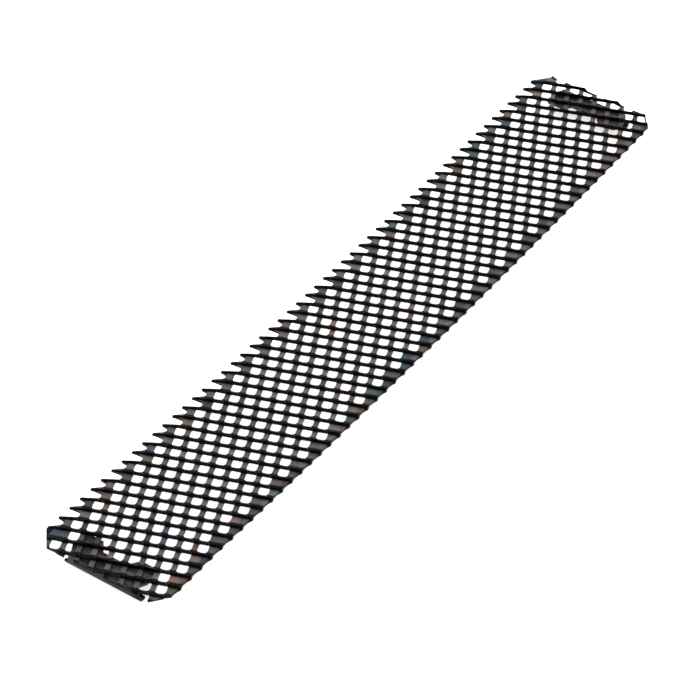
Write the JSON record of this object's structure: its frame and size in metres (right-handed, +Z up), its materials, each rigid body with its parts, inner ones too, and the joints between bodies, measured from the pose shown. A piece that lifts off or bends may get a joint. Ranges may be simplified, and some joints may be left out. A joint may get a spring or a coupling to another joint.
{
  "type": "wood rasp blade",
  "caption": "Full-length flat perforated rasp blade: skewed rows of punched teeth, one saw-toothed edge, one plain edge, and a bent steel hook under each end.",
  "frame": {"origin": "under the middle of the blade, on the plane that the feet of the two end hooks stand on", "axes": "+X along the blade, +Y across it towards the saw-toothed long edge, +Z up, the side the teeth cut on"},
  "size_m": [0.25, 0.0418, 0.0061],
  "materials": {
    "blued_steel": "hardened, blue-black oxide with temper tints on the flats",
    "hook_steel": "plain mild steel, dull brown-grey oxide"
  },
  "bodies": {
    "root": {"blade_strip": "blued_steel", "near_end_hook": "hook_steel", "far_end_hook": "hook_steel"}
  },
  "joints": []
}
